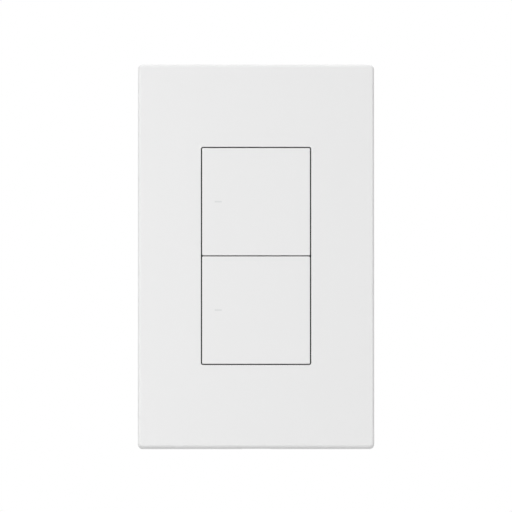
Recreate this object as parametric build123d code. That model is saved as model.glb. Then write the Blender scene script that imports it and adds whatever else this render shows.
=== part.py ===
from build123d import *

import os
from math import radians

# Two-key smart light switch for a single-gang wall box, as separate solids.
# Frame: the origin is the centre of the wall plane, +X is to the right, +Y goes into the wall and +Z is up.
# The keys and the wall plate stand in front of the wall, at negative Y, and the housing sinks into the box.
# All sizes are in millimetres, and angles in degrees.

# Standard single-gang fixing: what the box screws and plate screws stand apart, and the strap beyond them
BOX_SCREW_SPACING = 83.34
PLATE_SCREW_OUT = 6.75
YOKE_END = 4.78

# Wall plate
PLATE_WALL = 1.8
PLATE_FACE_T = 2.0
PLATE_CORNER_R = 1.4
PLATE_EDGE_R = 0.9
LIP_T = 1.4
LIP_TO_DECK = 0.2
RIB_T = 1.0
RIB_TO_BASE = 0.7
RIB_Z = 21.0
RIB_X = 11.0
CATCH_LENGTH = 9.0
CATCH_T = 1.0
CATCH_BITE = 0.8
CATCH_Z = 38.0
CATCH_CLEAR = 0.15
PRY_W = 9.0
PRY_DEPTH = 1.4

# Plate base, which the wall plate clips onto
BASE_T = 1.9
BASE_GAP = 2.2
BASE_END = 2.8
BASE_BRIDGE = 1.5
BASE_CORNER_R = 2.5
BASE_TO_DECK = 0.4
BASE_RAIL_EDGE = 2.8
BASE_WINDOW_W = 5.5
BASE_WINDOW_H = 24.0
BASE_WINDOW_Z = 18.0
BASE_WINDOW_R = 1.4
HEAD_ACCESS = 0.5

# Keys
KEY_W = 33.70
KEY_GAP = 0.38
KEY_SPLIT = 0.34
KEY_FACE_T = 1.6
KEY_WALL = 1.2
KEY_CORNER_R = 0.35
KEY_EDGE_R = 0.10
KEY_STOP_CLEAR = 0.54
KEY_ANGLE = 2.0

# Key hinges, hooks and the nub that works the push switch
HINGE_CLEAR = 0.35
PIN_R = 0.8
PIN_CLEAR = 0.05
SOCKET_WALL = 1.0
SOCKET_LIP = 0.5
POST_W = 2.4
POST_TO_FACE = 1.0
EAR_T = 1.2
EAR_CLEAR = 0.2
EAR_EDGE = 0.5
EAR_TO_DECK = 0.9
HOOK_W = 4.0
HOOK_T = 1.2
HOOK_BITE = 0.7
HOOK_INSET = 5.0
HOOK_CLEAR = 0.15
HOOK_TO_YOKE = 1.02
BARB_DEPTH = 0.9
NUB_R = 1.5
NUB_CLEAR = 0.12

# Indicator window, light guide and light tube of each key
WINDOW_INSET = 5.02
WINDOW_W = 2.2
WINDOW_H = 0.5
GUIDE_FLANGE = 0.5
GUIDE_DEPTH = 1.9
LIGHT_HOLE_R = 1.5
LIGHT_TUBE_T = 0.8
LIGHT_TUBE_GAP = 0.9

# Front housing
DECK_T = 1.5
DECK_SIDE = 4.17
DECK_END = 1.9
DECK_CORNER_R = 2.0
BOSS_R = 2.4
BOSS_RISE = 1.4
BOSS_CLEAR = 0.7
STANDOFF_R = 2.0
STANDOFF_EDGE = 1.6

# Mounting yoke
YOKE_T = 1.5
YOKE_SIDE = 0.5
YOKE_FOOT = 3.0
EAR_PLATE_W = 34.0
YOKE_CORNER_R = 3.0
EAR_HOLE_R = 1.6
EAR_HOLE_X = 11.5
BOX_SLOT_CLEAR = 0.35
BOX_SLOT_PLAY = 2.8
WINDOW_LIP = 0.2
GROUND_TAB_W = 8.0
GROUND_TAB_L = 9.5
GROUND_TAB_FOOT = 0.5
GROUND_HOLE_Y = 4.3

# Machine screws for the box, the plate base and the ground, all with one thread
THREAD_R = 1.75
NECK_CUT = 0.35
NECK_OUT = 0.4
BOX_HEAD_R = 3.2
BOX_HEAD_T = 2.2
BOX_SCREW_L = 25.4
PLATE_HEAD_R = 2.8
PLATE_SCREW_L = 7.4
GROUND_HEAD_R = 3.4
GROUND_HEAD_T = 2.0
GROUND_SCREW_L = 5.5
SCREW_CHAMFER = 0.4

# Screw drives, as shares of the head
SLOT_SHARE = 0.27
CROSS_SHARE = 0.65
DRIVE_DEPTH_SHARE = 0.5
HEAD_ROUND_SHARE = 0.33

# Rear housing
CASE_WALL = 2.0
CASE_BACK_T = 2.0
CASE_CORNER_R = 2.5
CASE_EDGE_R = 1.2
CASE_LEDGE = 2.5
POST_R = 3.0
POST_SINK = 0.5
POST_ROOM = 0.6
PANEL_EDGE = 2.4
PANEL_H = 40.0
PANEL_DEPTH = 0.3
PANEL_CORNER_R = 1.0
GAUGE_W = 2.4
GAUGE_L = 11.0
GAUGE_DEPTH = 0.7

# Housing screws, driven from the back through the yoke into the front housing
CASE_SCREW_R = 1.3
CASE_SCREW_CLEAR = 0.15
CASE_HEAD_R = 2.6
CASE_HEAD_T = 1.8
CASE_HEAD_SINK = 1.2
CASE_BORE_CLEAR = 0.3
TIP_CLEAR = 0.5

# Circuit boards, their screws, the sheet between them and the room for parts behind it
CONTROL_T = 1.2
BOARD_CLEAR = 0.5
POWER_T = 1.6
PART_ROOM = 15.2
BOARD_SCREW_R = 0.8
BOARD_SCREW_L = 4.0
BOARD_HEAD_R = 1.7
BOARD_HEAD_T = 1.2
SHEET_T = 0.4
SHEET_CLEAR = 0.2

# Push switches
TACT_W = 6.0
TACT_BODY_T = 3.2
TACT_COVER_T = 0.3
TACT_PLUNGER_R = 1.6
TACT_PLUNGER_RISE = 1.7
TACT_FLANGE_R = 2.1
TACT_FLANGE_T = 0.5
TACT_CLEAR = 0.1
TACT_WELL_CLEAR = 0.2
TACT_TO_DECK = 0.3

# Indicator lamps, radio and chips
LAMP_W = 1.6
LAMP_H = 0.8
LAMP_T = 0.7
RADIO_W = 16.0
RADIO_H = 13.0
RADIO_T = 0.8
RADIO_TO_TACT = 1.96
SHIELD_W = 11.0
SHIELD_H = 10.0
SHIELD_T = 1.6
SHIELD_X = -1.8
SHIELD_CORNER_R = 0.8
SHIELD_TO_DECK = 0.3
CHIP_T = 0.9
CHIP_W = 6.0
CHIP_H = 5.0
CHIP_X = 6.0
CHIP_Z = 6.0

# Link between the boards
LINK_PINS = 6
LINK_PITCH = 2.54
LINK_PIN_W = 0.64
LINK_PIN_OUT = 0.8
LINK_STRIP_H = 2.5
LINK_EDGE = 2.6

# Parts on the power board, with their gaps from each other and from the board's edge
PART_GAP = 1.2
PART_EDGE = 0.4
RELAY_W = 10.2
RELAY_H = 20.2
RELAY_GAP = 2.6
RELAY_TO_LEG = 2.15
CORE_W = 13.0
CORE_H = 12.0
CORE_LIMB = 3.2
CORE_BACK = 1.6
CORE_X = -5.5
CORE_L = 10.5
WINDING_OUT = 0.8
INPUT_CAN_R = 4.0
INPUT_CAN_L = 11.0
OUTPUT_CAN_R = 3.15
OUTPUT_CAN_L = 10.5
CAN_CRIMP = 0.35
CAN_CRIMP_RISE = 2.0
FILTER_W = 13.0
FILTER_H = 5.0
FILTER_L = 10.0
MOULD_R = 0.4
VARISTOR_R = 4.2
VARISTOR_T = 3.6
FUSE_R = 1.8
FUSE_L = 9.0
CHOKE_R = 3.0
CHOKE_L = 8.0
CHOKE_FLANGE = 1.3
CHOKE_WAIST = 0.5

# Wire terminals
TERMINAL_Z = 13.0
TERMINAL_CLEAR = 0.1
TERMINAL_WALL = 1.0
TERMINAL_SIDE_WALL = 2.75
WIRE_R = 1.7
WIRE_FUNNEL = 0.6
WIRE_WALL = 4.7
CAGE_W = 5.8
CAGE_H = 6.6
CAGE_L = 6.5
CAGE_WALL = 0.9
CAGE_CLEAR = 0.2
CAGE_STANDOFF = 2.6
LEG_W = 0.8
LEG_Z = 2.0
LEG_CLEAR = 0.13
LEG_OUT = 1.0
CLAMP_HEAD_R = 2.6
CLAMP_HEAD_T = 1.8
CLAMP_HEAD_SINK = 0.65
CLAMP_HEAD_CLEAR = 0.4
CLAMP_TO_CAGE = 0.15
CLAMP_SCREW_L = 1.8

# Depths, out from the wall to the face of the keys, and then back to the end of the housing
DECK_BACK = -YOKE_T
DECK_FRONT = DECK_BACK - DECK_T
BOSS_FRONT = DECK_FRONT - BOSS_RISE
BASE_FRONT = -YOKE_T - BASE_T
HINGE_Y = DECK_FRONT - EAR_TO_DECK - EAR_EDGE - PIN_R
FACE_Y = HINGE_Y - SOCKET_LIP - POST_TO_FACE - KEY_FACE_T
PLATE_UNDER = FACE_Y + PLATE_FACE_T
KEY_UNDER = FACE_Y + KEY_FACE_T
CONTROL_FRONT = DECK_BACK + SHIELD_TO_DECK + SHIELD_T + RADIO_T
CONTROL_BACK = CONTROL_FRONT + CONTROL_T
TACT_FRONT = CONTROL_FRONT - TACT_BODY_T - TACT_COVER_T
PLUNGER_FRONT = TACT_FRONT - TACT_PLUNGER_RISE
SHEET_FRONT = CONTROL_BACK + BOARD_HEAD_T + SHEET_CLEAR
SHEET_BACK = SHEET_FRONT + SHEET_T
POWER_FRONT = SHEET_BACK + PART_ROOM
POWER_BACK = POWER_FRONT + POWER_T
CAGE_FRONT = POWER_BACK + CAGE_STANDOFF
CAGE_BACK = CAGE_FRONT + CAGE_L
CAGE_Y = (CAGE_FRONT + CAGE_BACK) / 2
CASE_DEPTH = CAGE_BACK + CAGE_CLEAR + WIRE_WALL
CASE_SEAT = CASE_DEPTH - CASE_HEAD_SINK - CASE_HEAD_T

# Key field, which fills the height that the box screws leave; hinges and hooks go by each key's centre
FIELD_END = BOX_HEAD_R + HEAD_ACCESS + BASE_BRIDGE + BASE_TO_DECK + DECK_END
OPENING_W = KEY_W + 2 * KEY_GAP
OPENING_H = BOX_SCREW_SPACING - 2 * FIELD_END
KEY_H = (OPENING_H - KEY_SPLIT) / 2 - KEY_GAP
KEY_Z = {"upper": (KEY_H + KEY_SPLIT) / 2, "lower": -(KEY_H + KEY_SPLIT) / 2}
SOCKET_R = PIN_R + PIN_CLEAR
POST_HALF = SOCKET_R + SOCKET_WALL
HINGE_RISE = KEY_H / 2 - KEY_WALL - HINGE_CLEAR - POST_HALF
HOOK_DROP = -KEY_H / 2 + HOOK_INSET
PLUNGER_TRAVEL = HINGE_RISE * radians(KEY_ANGLE)
KEY_THROW = (HINGE_RISE + KEY_H / 2) * radians(KEY_ANGLE)
KEY_BACK = DECK_FRONT - KEY_THROW - KEY_STOP_CLEAR
WINDOW_X = WINDOW_INSET - KEY_W / 2

# Housing, from the relays and terminals across and from the keys upwards
LEG_X = RELAY_GAP / 2 + RELAY_W + RELAY_TO_LEG + LEG_W / 2
CAGE_X = LEG_X + (CAGE_W - CAGE_WALL) / 2
CAGE_INSET = CLAMP_HEAD_SINK + CLAMP_HEAD_T + CLAMP_TO_CAGE
CASE_W = 2 * (CAGE_X + CAGE_W / 2 + CAGE_INSET)
CASE_SCREW_X = KEY_W / 2 - KEY_WALL - BOSS_CLEAR - BOSS_R
CASE_SCREW_Z = KEY_H + KEY_SPLIT / 2 - KEY_WALL - BOSS_CLEAR - BOSS_R
CASE_H = 2 * (CASE_SCREW_Z + POST_R - POST_SINK + CASE_WALL)
CAVITY_W = CASE_W - 2 * CASE_WALL
CAVITY_H = CASE_H - 2 * CASE_WALL
TERMINAL_W = CAGE_INSET + CAGE_W + CAGE_CLEAR + TERMINAL_WALL
TERMINAL_H = CAGE_H + 2 * (CAGE_CLEAR + TERMINAL_SIDE_WALL)
PANEL_W = CASE_W - 2 * (TERMINAL_W + PANEL_EDGE)

# The cross of free room between the four screw posts, and what stands in it
CROSS_HALF_W = CAVITY_W / 2 - WINDOW_LIP
CROSS_HALF_H = CAVITY_H / 2 - WINDOW_LIP
ARM_HALF_W = CASE_SCREW_X - POST_R - POST_ROOM
ARM_HALF_H = CASE_SCREW_Z - POST_R - POST_ROOM
HINGE_X = ARM_HALF_W - HOOK_W / 2 - HOOK_TO_YOKE
STANDOFF_X = CROSS_HALF_W - STANDOFF_EDGE - STANDOFF_R
STANDOFF_Z = ARM_HALF_H - STANDOFF_EDGE - STANDOFF_R
RADIO_Z = KEY_Z["lower"] + TACT_W / 2 + RADIO_TO_TACT + RADIO_H / 2
LINK_Z = ARM_HALF_H - LINK_EDGE - LINK_STRIP_H / 2
RELAY_Z = PART_EDGE + RELAY_H / 2 - ARM_HALF_H
PARTS_FOOT = RELAY_Z + RELAY_H / 2 + PART_GAP
CORE_Z = PARTS_FOOT + CORE_H / 2
CAN_X = CORE_X + CORE_W / 2 + WINDING_OUT + PART_GAP + INPUT_CAN_R
INPUT_CAN_Z = PARTS_FOOT + INPUT_CAN_R
OUTPUT_CAN_Z = INPUT_CAN_Z + INPUT_CAN_R + PART_GAP + OUTPUT_CAN_R
FILTER_Z = CROSS_HALF_H - PART_EDGE - FILTER_H / 2
VARISTOR_X = CROSS_HALF_W - PART_EDGE - VARISTOR_R
FUSE_X = CROSS_HALF_W - PART_EDGE - FUSE_R
CHOKE_X = PART_EDGE + CHOKE_R - CROSS_HALF_W

# Yoke, deck, plate base and wall plate, each from what it has to cover
YOKE_W = CASE_W + 2 * YOKE_SIDE
YOKE_BODY_H = CASE_H + 2 * YOKE_FOOT
PLATE_SCREW_SPACING = BOX_SCREW_SPACING + 2 * PLATE_SCREW_OUT
YOKE_H = PLATE_SCREW_SPACING + 2 * YOKE_END
GROUND_Z = -YOKE_BODY_H / 2 - GROUND_TAB_FOOT - GROUND_TAB_W / 2
DECK_W = OPENING_W + 2 * DECK_SIDE
DECK_H = OPENING_H + 2 * DECK_END
BASE_OPENING_W = DECK_W + 2 * BASE_TO_DECK
BASE_OPENING_H = DECK_H + 2 * BASE_TO_DECK
BASE_RAIL = BASE_WINDOW_W + 2 * BASE_RAIL_EDGE
BASE_W = BASE_OPENING_W + 2 * BASE_RAIL
BASE_H = YOKE_H + 2 * BASE_END
PLATE_W = BASE_W + 2 * (BASE_GAP + PLATE_WALL)
PLATE_H = BASE_H + 2 * (BASE_GAP + PLATE_WALL)

SIDES = (-1, 1)
CORNERS = [(sx, sz) for sx in SIDES for sz in SIDES]
TERMINALS = {"line": (-1, 1), "neutral": (1, 1), "load_1": (-1, -1), "load_2": (1, -1)}


def block(width, height, front, back, x=0.0, z=0.0, corner=0.0):
    """A slab that faces the room, between two depths, with its corners rounded if asked."""
    solid = Pos(x, (front + back) / 2, z) * Box(width, back - front, height)
    return fillet(solid.edges().filter_by(Axis.Y), corner) if corner else solid


def rod(radius, front, back, x=0.0, z=0.0):
    """A round bar that points into the wall."""
    return Pos(x, (front + back) / 2, z) * Rot(90, 0, 0) * Cylinder(radius, back - front)


def cross_rod(radius, low, high, y=0.0, z=0.0):
    """A round bar that lies across the switch, along X."""
    return Pos((low + high) / 2, y, z) * Rot(0, 90, 0) * Cylinder(radius, high - low)


def upright_rod(radius, low, high, x, y):
    """A round bar that stands up, along Z."""
    return Pos(x, y, (low + high) / 2) * Cylinder(radius, high - low)


def stadium(play, width, front, back, z=0.0):
    """A slot with round ends, longer along X than it is wide by its play."""
    ends = [rod(width / 2, front, back, side * play / 2, z) for side in SIDES]
    return block(play, width, front, back, z=z) + ends


def cross_outline(clear, front, back):
    """The inside of the housing between its four screw posts, as a cross, less a clearance all round."""
    wide = block(2 * (CROSS_HALF_W - clear), 2 * (ARM_HALF_H - clear), front, back)
    return wide + block(2 * (ARM_HALF_W - clear), 2 * (CROSS_HALF_H - clear), front, back)


def front_face(solid):
    """The face of a solid that is nearest to the room."""
    return solid.faces().sort_by(Axis.Y)[0]


def back_face(solid):
    """The face of a solid that is deepest in the wall."""
    return solid.faces().sort_by(Axis.Y)[-1]


def wall_plate():
    """The front cover: a shallow dish with the key opening, its return lip, ribs, catches and pry notch."""
    inner_w = PLATE_W - 2 * PLATE_WALL
    inner_h = PLATE_H - 2 * PLATE_WALL
    lip_w = OPENING_W + 2 * LIP_T
    lip_h = OPENING_H + 2 * LIP_T
    rib_back = BASE_FRONT - RIB_TO_BASE
    side_rib = (inner_w - lip_w) / 2
    end_rib = (inner_h - lip_h) / 2
    dish = block(PLATE_W, PLATE_H, FACE_Y, 0, corner=PLATE_CORNER_R)
    dish = fillet(front_face(dish).edges(), PLATE_EDGE_R)
    dish -= block(inner_w, inner_h, PLATE_UNDER, 0)
    dish += block(lip_w, lip_h, PLATE_UNDER, DECK_FRONT - LIP_TO_DECK)
    for side in SIDES:
        for z in (-RIB_Z, 0, RIB_Z):
            dish += block(side_rib, RIB_T, PLATE_UNDER, rib_back, side * (inner_w - side_rib) / 2, z)
        for x in (-RIB_X, RIB_X):
            dish += block(RIB_T, end_rib, PLATE_UNDER, rib_back, x, side * (inner_h - end_rib) / 2)
        for z in (-CATCH_Z, 0, CATCH_Z):
            dish += catch(side, z)
    dish -= block(OPENING_W, OPENING_H, FACE_Y, DECK_FRONT, corner=KEY_CORNER_R + KEY_GAP)
    dish -= block(PRY_W, PLATE_WALL, -PRY_DEPTH, 0, z=(PLATE_WALL - PLATE_H) / 2)
    return fillet(front_face(dish).inner_wires()[0].edges(), KEY_EDGE_R)


def catch(side, z):
    """A ramped lug on the plate's inner wall that holds behind the edge of the plate base."""
    wall = PLATE_W / 2 - PLATE_WALL
    edge = BASE_W / 2
    front = -YOKE_T + CATCH_CLEAR
    back = front + CATCH_T
    outline = [(wall, front), (edge - CATCH_BITE, front), (edge, back), (wall, back)]
    profile = make_face(Polyline(*[(side * x, y) for x, y in outline], close=True))
    return Pos(0, 0, z) * extrude(profile, amount=CATCH_LENGTH / 2, both=True)


def key(place):
    """One rebound key: a hollow cap with hinge pins near its top, hooks near its foot and a centre nub."""
    cap = block(KEY_W, KEY_H, FACE_Y, KEY_BACK, corner=KEY_CORNER_R)
    cap = fillet(front_face(cap).edges(), KEY_EDGE_R)
    cap -= block(KEY_W - 2 * KEY_WALL, KEY_H - 2 * KEY_WALL, KEY_UNDER, KEY_BACK)
    for side in SIDES:
        cap += hinge_pin(side * HINGE_X)
        cap += hook(side * HINGE_X)
    cap += rod(NUB_R, KEY_UNDER, PLUNGER_FRONT - NUB_CLEAR)
    cap -= block(WINDOW_W, WINDOW_H, FACE_Y, KEY_UNDER, x=WINDOW_X)
    return Pos(0, 0, KEY_Z[place]) * cap


def hinge_pin(x):
    """A pin across two ears under the key's face, which clips into a post of the front housing."""
    reach = POST_W / 2 + EAR_CLEAR
    ear_half = PIN_R + EAR_EDGE
    pin = cross_rod(PIN_R, x - reach - EAR_T, x + reach + EAR_T, HINGE_Y, HINGE_RISE)
    for side in SIDES:
        ear_x = x + side * (reach + EAR_T / 2)
        pin += block(EAR_T, 2 * ear_half, KEY_UNDER, HINGE_Y + ear_half, ear_x, HINGE_RISE)
    return pin


def hook(x):
    """A leg through the deck whose barb stops the key's foot from swinging out."""
    barb_front = DECK_BACK + HOOK_CLEAR
    barb_back = barb_front + BARB_DEPTH
    foot = HOOK_DROP - HOOK_T / 2
    leg = block(HOOK_W, HOOK_T, KEY_UNDER, barb_back, x, HOOK_DROP)
    outline = [(barb_front, foot), (barb_front, foot - HOOK_BITE), (barb_back, foot)]
    profile = Plane.YZ * make_face(Polyline(*outline, close=True))
    return leg + Pos(x, 0, 0) * extrude(profile, amount=HOOK_W / 2, both=True)


def light_guide(place):
    """The clear bar that fills the key's window, with a flange behind the face."""
    bar = block(WINDOW_W, WINDOW_H, FACE_Y, KEY_UNDER, x=WINDOW_X)
    flange_w = WINDOW_W + 2 * GUIDE_FLANGE
    flange_h = WINDOW_H + 2 * GUIDE_FLANGE
    bar += block(flange_w, flange_h, KEY_UNDER, KEY_UNDER + GUIDE_DEPTH, x=WINDOW_X)
    return Pos(0, 0, KEY_Z[place]) * bar


def front_housing():
    """The deck behind the keys: hinge posts, light tubes, screw bosses and board standoffs."""
    deck = block(DECK_W, DECK_H, DECK_FRONT, DECK_BACK, corner=DECK_CORNER_R)
    tube_back = CONTROL_FRONT - LIGHT_TUBE_GAP
    tact_hole = TACT_W + 2 * TACT_TO_DECK
    slot_w = HOOK_W + 2 * HOOK_CLEAR
    slot_h = HOOK_T + HOOK_BITE + 2 * HOOK_CLEAR
    slot_z = HOOK_DROP + HOOK_BITE / 2
    for z in KEY_Z.values():
        deck += rod(LIGHT_HOLE_R + LIGHT_TUBE_T, DECK_BACK, tube_back, WINDOW_X, z)
        deck -= rod(LIGHT_HOLE_R, DECK_FRONT, tube_back, WINDOW_X, z)
        deck -= block(tact_hole, tact_hole, DECK_FRONT, DECK_BACK, z=z)
        for side in SIDES:
            deck += hinge_post(side * HINGE_X, z + HINGE_RISE)
            deck -= block(slot_w, slot_h, DECK_FRONT, DECK_BACK, side * HINGE_X, z + slot_z)
    for sx, sz in CORNERS:
        screw_at = (sx * CASE_SCREW_X, sz * CASE_SCREW_Z)
        deck += rod(BOSS_R, BOSS_FRONT, DECK_FRONT, *screw_at)
        deck -= rod(CASE_SCREW_R, BOSS_FRONT + TIP_CLEAR, DECK_BACK, *screw_at)
        standoff_at = (sx * STANDOFF_X, sz * STANDOFF_Z)
        deck += rod(STANDOFF_R, DECK_BACK, CONTROL_FRONT, *standoff_at)
        deck -= rod(BOARD_SCREW_R, CONTROL_BACK - BOARD_SCREW_L - TIP_CLEAR, CONTROL_FRONT, *standoff_at)
    return deck


def hinge_post(x, z):
    """A post with a socket, open to the front, for one hinge pin."""
    post = block(POST_W, 2 * POST_HALF, HINGE_Y - SOCKET_LIP, DECK_FRONT, x, z)
    return post - cross_rod(SOCKET_R, x - POST_W / 2, x + POST_W / 2, HINGE_Y, z)


def yoke():
    """The stamped steel strap with its box-screw slots, plate-screw holes, window and ground tab."""
    strap = block(YOKE_W, YOKE_BODY_H, -YOKE_T, 0, corner=YOKE_CORNER_R)
    strap += block(EAR_PLATE_W, YOKE_H, -YOKE_T, 0, corner=YOKE_CORNER_R)
    strap -= cross_outline(0, -YOKE_T, 0)
    slot_w = 2 * (THREAD_R + BOX_SLOT_CLEAR)
    for side in SIDES:
        screw_z = side * PLATE_SCREW_SPACING / 2
        strap -= stadium(BOX_SLOT_PLAY, slot_w, -YOKE_T, 0, side * BOX_SCREW_SPACING / 2)
        strap -= rod(THREAD_R, -YOKE_T, 0, z=screw_z)
        for hole_x in (-EAR_HOLE_X, EAR_HOLE_X):
            strap -= rod(EAR_HOLE_R, -YOKE_T, 0, hole_x, screw_z)
    for sx, sz in CORNERS:
        hole_at = (sx * CASE_SCREW_X, sz * CASE_SCREW_Z)
        strap -= rod(CASE_SCREW_R + CASE_SCREW_CLEAR, -YOKE_T, 0, *hole_at)
    return strap + ground_tab()


def ground_tab():
    """A tab bent back from the left edge of the lower ear, with the tapped hole of the ground screw."""
    edge = -EAR_PLATE_W / 2
    tab = block(YOKE_T, GROUND_TAB_W, -YOKE_T, GROUND_TAB_L - YOKE_T, edge + YOKE_T / 2, GROUND_Z)
    bend = tab.edges().filter_by(Axis.Z).group_by(Axis.Y)[0].sort_by(Axis.X)[0]
    tab = fillet(bend, YOKE_T / 2)
    return tab - cross_rod(THREAD_R, edge, edge + YOKE_T, GROUND_HOLE_Y, GROUND_Z)


def pan_head(radius, thickness):
    """A slotted pan head along X: its seat is at the origin and its top faces +X."""
    head = cross_rod(radius, 0, thickness)
    head = fillet(head.faces().sort_by(Axis.X)[-1].edges(), thickness * HEAD_ROUND_SHARE)
    depth = thickness * DRIVE_DEPTH_SHARE
    width = radius * SLOT_SHARE
    drive = Box(depth, 2 * radius, width) + Box(depth, width, 2 * radius * CROSS_SHARE)
    return head - Pos(thickness - depth / 2, 0, 0) * drive


def shank(radius, start, end):
    """A screw's shank along -X, between two distances from its seat, with a chamfered tip."""
    bar = cross_rod(radius, -end, -start)
    return chamfer(bar.faces().sort_by(Axis.X)[0].edges(), SCREW_CHAMFER)


def box_screws():
    """The two machine screws that pull the yoke onto the wall box, necked where they pass its slots."""
    neck = YOKE_T + NECK_OUT
    screw = pan_head(BOX_HEAD_R, BOX_HEAD_T) + cross_rod(THREAD_R - NECK_CUT, -neck, 0)
    screw = Pos(0, -YOKE_T, 0) * Rot(0, 0, -90) * (screw + shank(THREAD_R, neck, BOX_SCREW_L))
    return Compound([Pos(0, 0, side * BOX_SCREW_SPACING / 2) * screw for side in SIDES])


def countersink():
    """The cone of a flat screw head, through the thickness of the plate base."""
    cone = Rot(90, 0, 0) * Cone(THREAD_R, PLATE_HEAD_R, BASE_T)
    return Pos(0, BASE_FRONT + BASE_T / 2, 0) * cone


def plate_screws():
    """The two flat-head screws that hold the plate base on the yoke."""
    depth = BASE_T * DRIVE_DEPTH_SHARE
    slot = block(2 * PLATE_HEAD_R, PLATE_HEAD_R * SLOT_SHARE, BASE_FRONT, BASE_FRONT + depth)
    body = Pos(0, BASE_FRONT, 0) * Rot(0, 0, -90) * shank(THREAD_R, BASE_T, PLATE_SCREW_L)
    screw = countersink() + body - slot
    return Compound([Pos(0, 0, side * PLATE_SCREW_SPACING / 2) * screw for side in SIDES])


def ground_screw():
    """The ground screw, driven from the side through the yoke's tab."""
    screw = pan_head(GROUND_HEAD_R, GROUND_HEAD_T) + shank(THREAD_R, 0, GROUND_SCREW_L)
    return Pos(-EAR_PLATE_W / 2, GROUND_HOLE_Y, GROUND_Z) * Rot(0, 0, 180) * screw


def plate_base():
    """The frame under the wall plate, screwed to the yoke, with room for the box-screw heads."""
    access = 2 * (BOX_HEAD_R + HEAD_ACCESS)
    opening = (BASE_OPENING_W, BASE_OPENING_H)
    frame = block(BASE_W, BASE_H, BASE_FRONT, -YOKE_T, corner=BASE_CORNER_R)
    frame -= block(*opening, BASE_FRONT, -YOKE_T, corner=DECK_CORNER_R + BASE_TO_DECK)
    for side in SIDES:
        frame -= stadium(BOX_SLOT_PLAY, access, BASE_FRONT, -YOKE_T, side * BOX_SCREW_SPACING / 2)
        frame -= Pos(0, 0, side * PLATE_SCREW_SPACING / 2) * countersink()
    for sx, sz in CORNERS:
        place = (sx * (BASE_OPENING_W + BASE_RAIL) / 2, sz * BASE_WINDOW_Z)
        frame -= block(BASE_WINDOW_W, BASE_WINDOW_H, BASE_FRONT, -YOKE_T, *place, corner=BASE_WINDOW_R)
    return frame


def rear_housing():
    """The box that goes into the wall, with screw posts, a board ledge and four terminal bays."""
    case = block(CASE_W, CASE_H, 0, CASE_DEPTH, corner=CASE_CORNER_R)
    case = fillet(back_face(case).edges(), CASE_EDGE_R)
    case -= block(CAVITY_W, CAVITY_H, 0, POWER_BACK)
    inner = (CAVITY_W - 2 * CASE_LEDGE, CAVITY_H - 2 * CASE_LEDGE)
    case -= block(*inner, POWER_BACK, CASE_DEPTH - CASE_BACK_T)
    for sx, sz in CORNERS:
        post_at = (sx * CASE_SCREW_X, sz * CASE_SCREW_Z)
        case += rod(POST_R, 0, CASE_DEPTH - CASE_BACK_T, *post_at)
        case -= rod(CASE_SCREW_R + CASE_SCREW_CLEAR, 0, CASE_DEPTH, *post_at)
        case -= rod(CASE_HEAD_R + CASE_BORE_CLEAR, CASE_SEAT, CASE_DEPTH, *post_at)
    bay = (TERMINAL_W + TERMINAL_CLEAR, TERMINAL_H + 2 * TERMINAL_CLEAR)
    for sx, sz in TERMINALS.values():
        case -= block(*bay, POWER_BACK, CASE_DEPTH, sx * (CASE_W - bay[0]) / 2, sz * TERMINAL_Z)
    panel = CASE_DEPTH - PANEL_DEPTH
    case -= block(PANEL_W, PANEL_H, panel, CASE_DEPTH, corner=PANEL_CORNER_R)
    return case - block(GAUGE_W, GAUGE_L, panel - GAUGE_DEPTH, panel)


def case_screws():
    """The four long screws that clamp the rear housing and the yoke to the front housing."""
    length = CASE_SEAT - BOSS_FRONT - 2 * TIP_CLEAR
    screw = pan_head(CASE_HEAD_R, CASE_HEAD_T) + shank(CASE_SCREW_R, 0, length)
    screw = Pos(0, CASE_SEAT, 0) * Rot(0, 0, 90) * screw
    return Compound([Pos(sx * CASE_SCREW_X, 0, sz * CASE_SCREW_Z) * screw for sx, sz in CORNERS])


def control_board():
    """The board behind the deck that carries the push switches, lamps and radio."""
    board = cross_outline(BOARD_CLEAR, CONTROL_FRONT, CONTROL_BACK)
    for sx, sz in CORNERS:
        board -= rod(BOARD_SCREW_R, CONTROL_FRONT, CONTROL_BACK, sx * STANDOFF_X, sz * STANDOFF_Z)
    return board - link_bars(CONTROL_FRONT, CONTROL_BACK)


def board_screws():
    """The four small screws that hold the control board on its standoffs."""
    screw = pan_head(BOARD_HEAD_R, BOARD_HEAD_T) + shank(BOARD_SCREW_R, 0, BOARD_SCREW_L)
    screw = Pos(0, CONTROL_BACK, 0) * Rot(0, 0, 90) * screw
    return Compound([Pos(sx * STANDOFF_X, 0, sz * STANDOFF_Z) * screw for sx, sz in CORNERS])


def tact_body(place):
    """The moulded body of a push switch, with the well of its plunger."""
    front = TACT_FRONT + TACT_COVER_T
    well = TACT_CLEAR + TACT_FLANGE_T + PLUNGER_TRAVEL + TACT_WELL_CLEAR
    body = block(TACT_W, TACT_W, front, CONTROL_FRONT)
    body -= rod(TACT_FLANGE_R + TACT_CLEAR, front, front + well)
    return Pos(0, 0, KEY_Z[place]) * body


def tact_cover(place):
    """The metal cover of a push switch, with the hole of its plunger."""
    back = TACT_FRONT + TACT_COVER_T
    cover = block(TACT_W, TACT_W, TACT_FRONT, back) - rod(TACT_PLUNGER_R + TACT_CLEAR, TACT_FRONT, back)
    return Pos(0, 0, KEY_Z[place]) * cover


def tact_plunger(place):
    """The plunger of a push switch, held by its flange behind the cover."""
    flange = TACT_FRONT + TACT_COVER_T + TACT_CLEAR
    plunger = rod(TACT_PLUNGER_R, PLUNGER_FRONT, flange)
    plunger += rod(TACT_FLANGE_R, flange, flange + TACT_FLANGE_T)
    return Pos(0, 0, KEY_Z[place]) * plunger


def indicator_lamp(place):
    """The small lamp on the board behind a key's light guide."""
    return block(LAMP_W, LAMP_H, CONTROL_FRONT - LAMP_T, CONTROL_FRONT, WINDOW_X, KEY_Z[place])


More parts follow.
